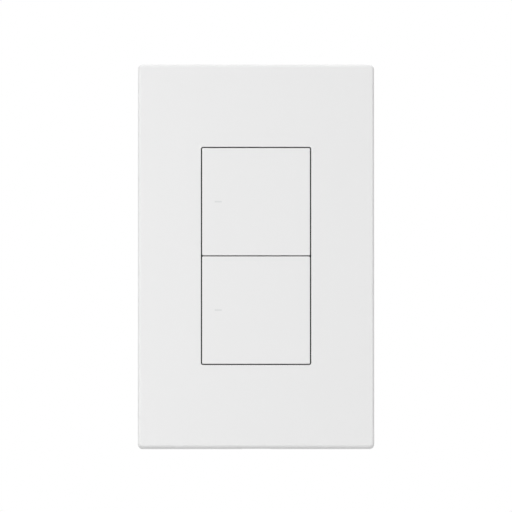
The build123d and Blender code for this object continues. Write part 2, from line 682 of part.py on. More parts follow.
def radio_board():
    """The radio's own small board, soldered on the control board."""
    return block(RADIO_W, RADIO_H, CONTROL_FRONT - RADIO_T, CONTROL_FRONT, z=RADIO_Z)


def radio_shield():
    """The metal can over the radio."""
    back = CONTROL_FRONT - RADIO_T
    return block(SHIELD_W, SHIELD_H, back - SHIELD_T, back, SHIELD_X, RADIO_Z, corner=SHIELD_CORNER_R)


def chips(front):
    """A pair of chips on the back of a board."""
    return Compound([block(CHIP_W, CHIP_H, front, front + CHIP_T, side * CHIP_X, CHIP_Z) for side in SIDES])


def control_chips():
    """The controller and its memory, on the back of the control board."""
    return chips(CONTROL_BACK)


def power_chips():
    """The rectifier and the supply's regulator, on the back of the power board."""
    return chips(POWER_BACK)


def insulating_sheet():
    """The thin sheet between the control board and the mains parts, with a slot for the link."""
    slot_w = LINK_PINS * LINK_PITCH + 2 * SHEET_CLEAR
    slot_h = LINK_STRIP_H + 2 * SHEET_CLEAR
    sheet = cross_outline(BOARD_CLEAR, SHEET_FRONT, SHEET_BACK)
    return sheet - block(slot_w, slot_h, SHEET_FRONT, SHEET_BACK, z=LINK_Z)


def link_bars(front, back):
    """The row of square bars that join the boards, between two depths."""
    places = [(i - (LINK_PINS - 1) / 2) * LINK_PITCH for i in range(LINK_PINS)]
    return [block(LINK_PIN_W, LINK_PIN_W, front, back, x, LINK_Z) for x in places]


def link_strip():
    """The tall moulded spacer that keeps the link pins in a row."""
    strip = block(LINK_PINS * LINK_PITCH, LINK_STRIP_H, CONTROL_BACK, POWER_FRONT, z=LINK_Z)
    return strip - link_bars(CONTROL_BACK, POWER_FRONT)


def link_pins():
    """The pins that carry power and signals between the boards."""
    return Compound(link_bars(CONTROL_FRONT - LINK_PIN_OUT, POWER_BACK + LINK_PIN_OUT))


def power_board():
    """The mains board, which rests on the ledge of the rear housing."""
    board = cross_outline(0, POWER_FRONT, POWER_BACK)
    hole = LEG_W / 2**0.5 + LEG_CLEAR
    for sx, sz in TERMINALS.values():
        for side in SIDES:
            board -= rod(hole, POWER_FRONT, POWER_BACK, sx * LEG_X, sz * TERMINAL_Z + side * LEG_Z)
    return board - link_bars(POWER_FRONT, POWER_BACK)


def moulded_box(width, height, front, x, z):
    """A sealed component on the power board, with its corners and front edges rounded."""
    case = block(width, height, front, POWER_FRONT, x, z, corner=MOULD_R)
    return fillet(front_face(case).edges(), MOULD_R / 2)


def relay(side):
    """One sealed relay that switches a load."""
    return moulded_box(RELAY_W, RELAY_H, SHEET_BACK, side * (RELAY_W + RELAY_GAP) / 2, RELAY_Z)


def filter_capacitor():
    """The boxed film capacitor across the mains."""
    return moulded_box(FILTER_W, FILTER_H, POWER_FRONT - FILTER_L, 0, FILTER_Z)


def transformer_core():
    """The ferrite frame of the supply's transformer: a back and two limbs."""
    front = POWER_FRONT - CORE_L
    core = block(CORE_W, CORE_H, front, POWER_FRONT, CORE_X, CORE_Z)
    return core - block(CORE_W, CORE_H - 2 * CORE_LIMB, front + CORE_BACK, POWER_FRONT, CORE_X, CORE_Z)


def transformer_winding():
    """The taped coil between the limbs of the ferrite frame."""
    front = POWER_FRONT - CORE_L + CORE_BACK
    width = CORE_W + 2 * WINDING_OUT
    return block(width, CORE_H - 2 * CORE_LIMB, front, POWER_FRONT, CORE_X, CORE_Z, corner=WINDING_OUT)


def can_capacitor(radius, length, z):
    """An electrolytic can with the crimp near its foot."""
    can = rod(radius, POWER_FRONT - length, POWER_FRONT, CAN_X, z)
    can = fillet(front_face(can).edges(), 2 * CAN_CRIMP)
    ring = Rot(90, 0, 0) * Torus(radius + CAN_CRIMP, 2 * CAN_CRIMP)
    return can - Pos(CAN_X, POWER_FRONT - CAN_CRIMP_RISE, z) * ring


def varistor():
    """The round surge absorber, standing on edge."""
    y = POWER_FRONT - VARISTOR_R
    ends = (LINK_Z - VARISTOR_T / 2, LINK_Z + VARISTOR_T / 2)
    disc = upright_rod(VARISTOR_R, *ends, VARISTOR_X, y)
    return fillet(disc.edges().filter_by(GeomType.CIRCLE), VARISTOR_T / 3)


def fuse():
    """The axial fuse, lying on the board."""
    barrel = upright_rod(FUSE_R, -FUSE_L / 2, FUSE_L / 2, FUSE_X, POWER_FRONT - FUSE_R)
    return fillet(barrel.edges().filter_by(GeomType.CIRCLE), FUSE_R / 3)


def choke():
    """The drum choke of the mains filter, with a flange at each end."""
    front = POWER_FRONT - CHOKE_L
    drum = rod(CHOKE_R - CHOKE_WAIST, front, POWER_FRONT, CHOKE_X, LINK_Z)
    drum += rod(CHOKE_R, front, front + CHOKE_FLANGE, CHOKE_X, LINK_Z)
    return drum + rod(CHOKE_R, POWER_FRONT - CHOKE_FLANGE, POWER_FRONT, CHOKE_X, LINK_Z)


def terminal_body(name):
    """The moulded block of one terminal: wire bore at the back, cage pocket and screw bore at the side."""
    sx, sz = TERMINALS[name]
    x, z = sx * CAGE_X, sz * TERMINAL_Z
    body = block(TERMINAL_W, TERMINAL_H, POWER_BACK, CASE_DEPTH, sx * (CASE_W - TERMINAL_W) / 2, z)
    back_edges = body.edges().filter_by(Axis.Z).group_by(Axis.Y)[-1]
    body = fillet(back_edges.sort_by(Axis.X)[0 if sx < 0 else -1], CASE_EDGE_R)
    pocket = (CAGE_W + 2 * CAGE_CLEAR, CAGE_H + 2 * CAGE_CLEAR)
    body -= block(*pocket, POWER_BACK, CAGE_BACK + CAGE_CLEAR, x, z)
    body -= rod(WIRE_R, CAGE_BACK, CASE_DEPTH, x, z)
    funnel = Rot(-90, 0, 0) * Cone(WIRE_R, WIRE_R + WIRE_FUNNEL, WIRE_FUNNEL)
    body -= Pos(x, CASE_DEPTH - WIRE_FUNNEL / 2, z) * funnel
    bore = sorted((x, sx * CASE_W / 2))
    return body - cross_rod(CLAMP_HEAD_R + CLAMP_HEAD_CLEAR, *bore, CAGE_Y, z)


def terminal_cages():
    """The four brass cages that the wires go into, with their solder legs."""
    return Compound([cage(sx, sz) for sx, sz in TERMINALS.values()])


def cage(sx, sz):
    """One brass cage: a square tube along the wire, tapped for its screw on the outer side."""
    x, z = sx * CAGE_X, sz * TERMINAL_Z
    tube = block(CAGE_W, CAGE_H, CAGE_FRONT, CAGE_BACK, x, z)
    tube -= block(CAGE_W - 2 * CAGE_WALL, CAGE_H - 2 * CAGE_WALL, CAGE_FRONT, CAGE_BACK, x, z)
    tap = sorted((x, sx * (CAGE_X + CAGE_W / 2)))
    tube -= cross_rod(THREAD_R, *tap, CAGE_Y, z)
    for side in SIDES:
        tube += block(LEG_W, LEG_W, POWER_FRONT - LEG_OUT, CAGE_FRONT, sx * LEG_X, z + side * LEG_Z)
    return tube


def terminal_screws():
    """The four clamp screws in the sides of the terminals, their heads sunk below the housing's side."""
    screw = pan_head(CLAMP_HEAD_R, CLAMP_HEAD_T) + shank(THREAD_R, 0, CLAMP_SCREW_L)
    screw = Pos(CAGE_X + CAGE_W / 2 + CLAMP_TO_CAGE, 0, 0) * screw
    turn = {1: 0, -1: 180}
    places = [(turn[sx], sz * TERMINAL_Z) for sx, sz in TERMINALS.values()]
    return Compound([Pos(0, CAGE_Y, z) * Rot(0, 0, angle) * screw for angle, z in places])


PIECES = {
    "wall_plate": wall_plate,
    "plate_base": plate_base,
    "plate_screws": plate_screws,
    "yoke": yoke,
    "box_screws": box_screws,
    "ground_screw": ground_screw,
    "front_housing": front_housing,
    "rear_housing": rear_housing,
    "case_screws": case_screws,
    "control_board": control_board,
    "board_screws": board_screws,
    "radio_board": radio_board,
    "radio_shield": radio_shield,
    "control_chips": control_chips,
    "insulating_sheet": insulating_sheet,
    "link_strip": link_strip,
    "link_pins": link_pins,
    "power_board": power_board,
    "relay_1": lambda: relay(-1),
    "relay_2": lambda: relay(1),
    "transformer_core": transformer_core,
    "transformer_winding": transformer_winding,
    "input_capacitor": lambda: can_capacitor(INPUT_CAN_R, INPUT_CAN_L, INPUT_CAN_Z),
    "output_capacitor": lambda: can_capacitor(OUTPUT_CAN_R, OUTPUT_CAN_L, OUTPUT_CAN_Z),
    "filter_capacitor": filter_capacitor,
    "varistor": varistor,
    "fuse": fuse,
    "choke": choke,
    "power_chips": power_chips,
    "terminal_cages": terminal_cages,
    "terminal_screws": terminal_screws,
}
for place in KEY_Z:
    for piece in (key, light_guide, tact_body, tact_cover, tact_plunger, indicator_lamp):
        PIECES[f"{place}_{piece.__name__}"] = lambda piece=piece, place=place: piece(place)
for name in TERMINALS:
    PIECES[f"terminal_{name}"] = lambda name=name: terminal_body(name)

os.makedirs("parts", exist_ok=True)
for name, make in PIECES.items():
    export_step(make(), f"parts/{name}.step")
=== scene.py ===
import logging
import math
from dataclasses import dataclass
from enum import Enum
from functools import cache

import bmesh
import bpy
import numpy as np
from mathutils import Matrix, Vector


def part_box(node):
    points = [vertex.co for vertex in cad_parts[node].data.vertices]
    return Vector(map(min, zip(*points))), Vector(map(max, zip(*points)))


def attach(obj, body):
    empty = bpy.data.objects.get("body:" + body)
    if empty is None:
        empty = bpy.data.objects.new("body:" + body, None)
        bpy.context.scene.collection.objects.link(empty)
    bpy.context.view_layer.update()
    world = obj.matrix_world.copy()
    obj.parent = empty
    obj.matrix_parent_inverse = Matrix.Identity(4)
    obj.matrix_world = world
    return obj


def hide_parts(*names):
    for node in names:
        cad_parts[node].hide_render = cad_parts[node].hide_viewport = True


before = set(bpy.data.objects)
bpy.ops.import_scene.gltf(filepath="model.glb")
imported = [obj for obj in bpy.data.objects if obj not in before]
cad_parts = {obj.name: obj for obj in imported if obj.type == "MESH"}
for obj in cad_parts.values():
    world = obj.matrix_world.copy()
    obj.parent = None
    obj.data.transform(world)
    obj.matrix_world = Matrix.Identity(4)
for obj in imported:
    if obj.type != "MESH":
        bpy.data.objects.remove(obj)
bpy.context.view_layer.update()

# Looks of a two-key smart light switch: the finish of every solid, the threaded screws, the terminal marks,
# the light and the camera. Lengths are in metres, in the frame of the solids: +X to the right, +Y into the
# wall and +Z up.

MM = 0.001
MERGE_GAP = 2e-7
FLAT_EDGE = 1e-8
NOISE_MIDDLE = 0.5
log = logging.getLogger("light_switch")


class Axis(Enum):
    """An axis of the frame."""

    X = "X"
    Y = "Y"
    Z = "Z"


class Band(Enum):
    """The section of a striped pattern's bands: a smooth swell, or a ramp that ends in a step."""

    SWELL = "SIN"
    STEP = "SAW"


class Run(Enum):
    """The direction in which a metal was rolled or drawn, as the stretch of its grain along X, Y and Z."""

    ACROSS = (0.03, 1.0, 1.0)
    DEEP = (1.0, 0.03, 1.0)
    UPRIGHT = (1.0, 1.0, 0.03)


class Grain(Enum):
    """The texture of a mould's wall: how many grains to the metre, and how deep they are."""

    SATIN = (5200.0, 6.0e-6)
    SPARK = (2200.0, 1.2e-4)
    GLOSS = (1500.0, 1.0e-6)


class Socket:
    """A shader's output that takes part in Python arithmetic, where each operation adds a Math node."""

    def __init__(self, graph: "Graph", link: bpy.types.NodeSocket) -> None:
        """Keep the graph and the socket."""
        self.graph = graph
        self.link = link

    def math(self, operation: str, *values: "Socket | float") -> "Socket":
        """Add one Math node.

        Args:
            operation: the node's operation.
            values: its inputs in order, sockets or numbers.

        Returns:
            The node's result.
        """
        return self.graph.node("ShaderNodeMath", {"operation": operation}, dict(enumerate(values)))

    def at_most(self, limit: float) -> "Socket":
        """This value, or a limit where it is above that."""
        return self.math("MINIMUM", self, limit)

    def __add__(self, other: "Socket | float") -> "Socket":
        """This value plus another."""
        return self.math("ADD", self, other)

    def __radd__(self, other: float) -> "Socket":
        """A number plus this value."""
        return self.math("ADD", other, self)

    def __sub__(self, other: "Socket | float") -> "Socket":
        """This value less another."""
        return self.math("SUBTRACT", self, other)

    def __rsub__(self, other: float) -> "Socket":
        """A number less this value."""
        return self.math("SUBTRACT", other, self)

    def __mul__(self, other: "Socket | float") -> "Socket":
        """This value times another."""
        return self.math("MULTIPLY", self, other)

    def __rmul__(self, other: float) -> "Socket":
        """A number times this value."""
        return self.math("MULTIPLY", other, self)

    def __gt__(self, other: "Socket | float") -> "Socket":
        """One where this value is above another, and nought elsewhere."""
        return self.math("GREATER_THAN", self, other)

    def __lt__(self, other: "Socket | float") -> "Socket":
        """One where this value is below another, and nought elsewhere."""
        return self.math("LESS_THAN", self, other)


Colour = tuple[float, float, float]
WHITE: Colour = (1.0, 1.0, 1.0)
Feed = Socket | float | tuple[float, ...]


class Graph:
    """The node tree of one procedural material."""

    def __init__(self, tree: bpy.types.NodeTree) -> None:
        """Start from an emptied tree."""
        self.tree = tree
        tree.nodes.clear()

    def node(self, kind: str, settings: dict[str, object] | None = None,
             inputs: dict[str | int, Feed] | None = None, output: str | int = 0) -> Socket | None:
        """Add any node.

        Args:
            kind: the node's type.
            settings: its own settings, such as a Math node's operation, set first.
            inputs: values or links for its sockets, by name or number.
            output: the socket to hand back, by name or number.

        Returns:
            That output, or None for a node that has no outputs.
        """
        made = self.tree.nodes.new(kind)
        for key, value in (settings or {}).items():
            setattr(made, key, value)
        for key, value in (inputs or {}).items():
            socket = made.inputs[key]
            if isinstance(value, Socket):
                self.tree.links.new(value.link, socket)
            elif isinstance(value, tuple) and socket.type == "RGBA":
                socket.default_value = (*value, 1.0)
            else:
                socket.default_value = value
        return Socket(self, made.outputs[output]) if made.outputs else None

    def place(self, scale: tuple[float, float, float] = (1.0, 1.0, 1.0),
              centre: tuple[float, float, float] = (0.0, 0.0, 0.0)) -> Socket:
        """The point on the object, moved to a centre and then stretched.

        Args:
            scale: the stretch along X, Y and Z.
            centre: the point that becomes the origin.

        Returns:
            The coordinate, a vector.
        """
        point = self.node("ShaderNodeTexCoord", output="Object")
        shift = tuple(-c * s for c, s in zip(centre, scale))
        return self.node("ShaderNodeMapping", inputs={"Vector": point, "Scale": scale, "Location": shift})

    def noise(self, scale: float, detail: float = 2.0,
              stretch: tuple[float, float, float] = (1.0, 1.0, 1.0)) -> Socket:
        """Smooth noise about 0.5, with so many waves to the metre, stretched along an axis if asked.

        Args:
            scale: waves to the metre.
            detail: octaves of finer noise on top.
            stretch: factors on X, Y and Z.

        Returns:
            The noise, from 0 to 1.
        """
        inputs = {"Vector": self.place(stretch), "Scale": scale, "Detail": detail}
        return self.node("ShaderNodeTexNoise", inputs=inputs)

    def bands(self, axis: Axis, pitch: float, section: Band = Band.SWELL) -> Socket:
        """Straight bands, one after another along an axis.

        The texture's own bands lie pi / 10 apart at a scale of one, so the scale is pi / 10 over the pitch.

        Args:
            axis: the axis that they follow each other along.
            pitch: the length from one band to the next.
            section: the shape of each band.

        Returns:
            The bands' height, from 0 to 1.
        """
        settings = {"bands_direction": axis.value, "wave_profile": section.value}
        inputs = {"Vector": self.place(), "Scale": math.pi / (10 * pitch), "Distortion": 0.0}
        return self.node("ShaderNodeTexWave", settings, inputs)

    def mix(self, factor: Feed, low: Feed, high: Feed) -> Socket:
        """A colour between two others.

        Args:
            factor: 0 for the first colour and 1 for the second.
            low: the first colour.
            high: the second colour.

        Returns:
            The mixed colour.
        """
        return self.node("ShaderNodeMix", {"data_type": "RGBA"}, {0: factor, 6: low, 7: high}, output=2)

    def bump(self, height: Socket, distance: float) -> Socket:
        """The surface's normal, tilted by a height that is worth a distance in metres."""
        return self.node("ShaderNodeBump", inputs={"Height": height, "Distance": distance})

    def surface(self, **inputs: Feed) -> None:
        """Finish the tree with a Principled shader.

        Args:
            inputs: values or links for its sockets, named with _ for each space.
        """
        named = {key.replace("_", " "): value for key, value in inputs.items()}
        shader = self.node("ShaderNodeBsdfPrincipled", inputs=named)
        self.node("ShaderNodeOutputMaterial", inputs={"Surface": shader})


def scaled(colour: Colour, factor: float) -> Colour:
    """A colour made lighter or darker by one factor."""
    return tuple(min(1.0, channel * factor) for channel in colour)


@dataclass(frozen=True)
class Finish:
    """What every finish has: a name and a colour."""

    name: str
    colour: Colour

    def paint(self, graph: Graph) -> None:
        """Fill a material's tree; each kind of finish does this in its own way."""
        raise NotImplementedError

    @cache
    def material(self) -> bpy.types.Material:
        """The finish as a material of its own, made on its first use.

        Returns:
            The material.
        """
        made = bpy.data.materials.new(f"{self.name}_finish")
        made.use_nodes = True
        self.paint(Graph(made.node_tree))
        return made


@dataclass(frozen=True)
class MouldedPlastic(Finish):
    """A moulded plastic: flow clouds in its colour, and the mould's grain in its gloss and relief."""

    grain: Grain
    roughness: float
    mottle: float = 0.02
    clouds: float = 45.0
    grain_share: float = 0.5
    gloss_spread: float = 0.10

    def paint(self, graph: Graph) -> None:
        """Clouds and grains tint the colour by the mottle, and grains roughen and dent the surface.

        Args:
            graph: the material's tree.
        """
        per_metre, depth = self.grain.value
        flow = graph.noise(self.clouds, detail=3.0)
        pores = graph.noise(per_metre)
        shade = flow * (1 - self.grain_share) + pores * self.grain_share
        colour = graph.mix(shade, scaled(self.colour, 1 - self.mottle), scaled(self.colour, 1 + self.mottle))
        gloss = self.roughness + (pores - NOISE_MIDDLE + flow - NOISE_MIDDLE) * self.gloss_spread
        graph.surface(Base_Color=colour, Roughness=gloss, Normal=graph.bump(pores, depth))


@dataclass(frozen=True)
class DrawnMetal(Finish):
    """A rolled or drawn metal with a thin plating: streaks along its run, and clouds of a second tint."""

    tint: Colour
    roughness: float
    run: Run
    streaks: float = 5200.0
    streak_depth: float = 2.0e-6
    clouds: float = 420.0
    cloud_share: float = 0.7
    streak_gloss: float = 0.22
    cloud_gloss: float = 0.16

    def paint(self, graph: Graph) -> None:
        """Clouds and streaks mix the two tints, and streaks along the run vary the gloss and the normal.

        Args:
            graph: the material's tree.
        """
        streak = graph.noise(self.streaks, detail=3.0, stretch=self.run.value)
        cloud = graph.noise(self.clouds, detail=4.0)
        blend = cloud * self.cloud_share + streak * (1 - self.cloud_share)
        gloss = self.roughness + (streak - NOISE_MIDDLE) * self.streak_gloss
        graph.surface(
            Base_Color=graph.mix(blend, self.colour, self.tint),
            Roughness=gloss + (cloud - NOISE_MIDDLE) * self.cloud_gloss,
            Metallic=1.0,
            Normal=graph.bump(streak, self.streak_depth),
        )


@dataclass(frozen=True)
class WornDip(Finish):
    """A coloured dip on a metal screw, worn through to the metal in small patches."""

    bare: Colour
    roughness: float
    worn_above: float = 0.70
    patches: float = 900.0
    clouds: float = 300.0
    tint_spread: float = 0.25
    gloss_spread: float = 0.2
    worn_polish: float = 0.08
    dip_metal: float = 0.45
    relief: float = 3.0e-6

    def paint(self, graph: Graph) -> None:
        """Noise above a level shows the bare metal; below it the dip is a little uneven.

        Args:
            graph: the material's tree.
        """
        wear = graph.noise(self.patches, detail=5.0)
        cloud = graph.noise(self.clouds)
        worn = wear > self.worn_above
        dark, light = (scaled(self.colour, 1 + sign * self.tint_spread) for sign in (-1, 1))
        graph.surface(
            Base_Color=graph.mix(worn, graph.mix(cloud, dark, light), self.bare),
            Roughness=self.roughness + (cloud - NOISE_MIDDLE) * self.gloss_spread - worn * self.worn_polish,
            Metallic=self.dip_metal + worn * (1 - self.dip_metal),
            Normal=graph.bump(wear, self.relief),
        )


@dataclass(frozen=True)
class Laminate(Finish):
    """A circuit board: solder mask over copper tracks, with tinned pads in rows."""

    copper: Colour = (0.03, 0.24, 0.10)
    pad: Colour = (0.72, 0.70, 0.66)
    track_pitch: float = 1.27 * MM
    pad_pitch: float = 2.54 * MM
    pad_share: float = 0.16
    turn_patches: float = 110.0
    routed_patches: float = 70.0
    routed_above: float = 0.47
    track_above: float = 0.72
    roughness: float = 0.34
    pad_polish: float = 0.06
    track_dull: float = 0.04
    relief: float = 1.5e-5

    def paint(self, graph: Graph) -> None:
        """Tracks run in routed areas, and pads stand in a square grid on part of the rest.

        Tracks are the crests of bands that follow each other along X or Z, as the patch is turned.

        Args:
            graph: the material's tree.
        """
        turned = graph.noise(self.turn_patches, detail=1.0) > NOISE_MIDDLE
        routed = graph.noise(self.routed_patches) > self.routed_above
        upright, level = (graph.bands(axis, self.track_pitch) for axis in (Axis.X, Axis.Z))
        track = (upright * turned + level * (1 - turned) > self.track_above) * routed
        cell = (1 / self.pad_pitch,) * 3
        away = graph.node("ShaderNodeTexVoronoi", {"feature": "F1"},
                          {"Vector": graph.place(cell), "Scale": 1.0, "Randomness": 0.0}, "Distance")
        pad = (away < self.pad_share) * (1 - turned) * (1 - routed)
        mask = graph.mix(track, self.colour, self.copper)
        graph.surface(
            Base_Color=graph.mix(pad, mask, self.pad),
            Roughness=self.roughness - pad * self.pad_polish + track * self.track_dull,
            Metallic=pad,
            Normal=graph.bump(track + pad, self.relief),
        )


@dataclass(frozen=True)
class BandedWrap(Finish):
    """A taped or sleeved part: turns of tape that overlap along one axis, with painted shade and painted
    light across each turn.
    """

    axis: Axis
    turn: float
    roughness: float = 0.32
    clouds: float = 260.0
    turn_shade_share: float = 0.6
    dark: float = 0.78
    light: float = 1.12
    gloss_spread: float = 0.15
    tape_thick: float = 4.0e-5

    def paint(self, graph: Graph) -> None:
        """Ramps along the axis shade each turn from one edge to the other, with painted shade at the foot of
        each step and painted light towards the raised edge on top, and lift the edge on top.

        Args:
            graph: the material's tree.
        """
        ramp = graph.bands(self.axis, self.turn, Band.STEP)
        cloud = graph.noise(self.clouds, detail=3.0)
        # painted shade and light: each turn is darkest at the foot of its step, under the edge of the turn on
        # top, and lightest at its own raised edge
        shade = ramp * self.turn_shade_share + cloud * (1 - self.turn_shade_share)
        graph.surface(
            # dark and light scale the tape's colour for the painted shade and the painted light of each turn
            Base_Color=graph.mix(shade, scaled(self.colour, self.dark), scaled(self.colour, self.light)),
            Roughness=self.roughness + (cloud - NOISE_MIDDLE) * self.gloss_spread,
            Normal=graph.bump(ramp, self.tape_thick),
        )


@dataclass(frozen=True)
class SleevedCan(Finish):
    """An electrolytic can: a shrunk sleeve with a pale stripe down one side, and a bare aluminium end."""

    axis_x: float
    end_y: float
    radius: float
    stripe: Colour = (0.62, 0.64, 0.66)
    metal: Colour = (0.80, 0.80, 0.80)
    stripe_from: float = 0.8
    bare_depth: float = 0.5 * MM
    roughness: float = 0.30
    clouds: float = 300.0
    gloss_spread: float = 0.15
    relief: float = 1.0e-5

    def paint(self, graph: Graph) -> None:
        """The stripe is where the can bulges furthest to +X, and its first stretch of depth is bare metal.

        Args:
            graph: the material's tree.
        """
        point = graph.place(centre=(self.axis_x, self.end_y, 0.0))
        across = graph.node("ShaderNodeSeparateXYZ", inputs={"Vector": point}, output="X")
        depth = graph.node("ShaderNodeSeparateXYZ", inputs={"Vector": point}, output="Y")
        cloud = graph.noise(self.clouds, detail=3.0)
        striped = across > self.stripe_from * self.radius
        bare = depth < self.bare_depth
        graph.surface(
            Base_Color=graph.mix(bare, graph.mix(striped, self.colour, self.stripe), self.metal),
            Roughness=self.roughness + cloud * self.gloss_spread,
            Metallic=bare,
            Normal=graph.bump(cloud, self.relief),
        )


SCREW_ZINC = DrawnMetal("screw_zinc", (0.52, 0.52, 0.51), (0.40, 0.40, 0.38), 0.28, Run.DEEP)


Points = np.ndarray
Faces = np.ndarray


def grid_quads(rows: int, columns: int, start: int = 0, around: bool = False) -> Faces:
    """The quads of a grid of points stored row after row.

    Args:
        rows: points along the first parameter.
        columns: points along the second parameter.
        start: the number of the grid's first point.
        around: whether the last column joins the first.

    Returns:
        One row of four point numbers for each quad.
    """
    row = np.arange(rows - 1)[:, None] * columns + start
    column = np.arange(columns if around else columns - 1)[None, :]
    after = (column + 1) % columns
    corners = [row + column, row + after, row + columns + after, row + columns + column]
    return np.stack(corners, axis=-1).reshape(-1, 4)


def outward_shell(points: Points, faces: Faces) -> bpy.types.Mesh:
    """One closed shell with its doubles merged and its faces turned outwards.

    The faces point outwards when the volume that they enclose, taken with its sign, is above zero.

    Args:
        points: the shell's points.
        faces: its quads.

    Returns:
        The mesh.
    """
    mesh = bpy.data.meshes.new("shell")
    mesh.from_pydata(points.tolist(), [], faces.tolist())
    work = bmesh.new()
    work.from_mesh(mesh)
    bmesh.ops.remove_doubles(work, verts=work.verts, dist=MERGE_GAP)
    bmesh.ops.dissolve_degenerate(work, edges=work.edges, dist=FLAT_EDGE)
    bmesh.ops.recalc_face_normals(work, faces=work.faces)
    if work.calc_volume(signed=True) < 0:
        bmesh.ops.reverse_faces(work, faces=work.faces)
    work.to_mesh(mesh)
    work.free()
    return mesh


def mesh_piece(name: str, shells: list[tuple[Points, Faces]], sharp_deg: float = 35.0) -> bpy.types.Object:
    """Put closed shells into one object.

    Args:
        name: the piece's name.
        shells: points and faces of each shell.
        sharp_deg: edges that turn by more than this are shaded sharp.

    Returns:
        The object, linked to the scene at the origin.
    """
    joined = bmesh.new()
    for points, faces in shells:
        shell = outward_shell(points, faces)
        joined.from_mesh(shell)
        bpy.data.meshes.remove(shell)
    mesh = bpy.data.meshes.new(name)
    joined.to_mesh(mesh)
    joined.free()
    mesh.polygons.foreach_set("use_smooth", np.ones(len(mesh.polygons), dtype=bool))
    mesh.set_sharp_from_angle(angle=math.radians(sharp_deg))
    piece = bpy.data.objects.new(name, mesh)
    bpy.context.scene.collection.objects.link(piece)
    return piece


def dress(node: str, finish: Finish) -> bpy.types.Object:
    """Give a solid's object a finish.

    Args:
        node: the solid's name.
        finish: what it is made of.

    Returns:
        The object.
    """
    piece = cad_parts[node]
    for slot in piece.material_slots:
        slot.material = finish.material()
    return piece


def adopt(piece: bpy.types.Object, finish: Finish, slot: str, body: str,
          *stands_for: str) -> bpy.types.Object:
    """Give a new piece its finish, its body and the solids that it stands for.

    Args:
        piece: the new object.
        finish: what it is made of.
        slot: the record's material slot; not used.
        body: the body that it moves with.
        stands_for: solids that it replaces.

    Returns:
        The object.
    """
    piece.data.materials.append(finish.material())
    if stands_for:
        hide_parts(*stands_for)
    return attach(piece, body)


class Drive(Enum):
    """The recess of a screw's head: a slot alone, or a slot with a shorter cross arm."""

    SLOT = 0.0
    SLOT_AND_CROSS = 0.65


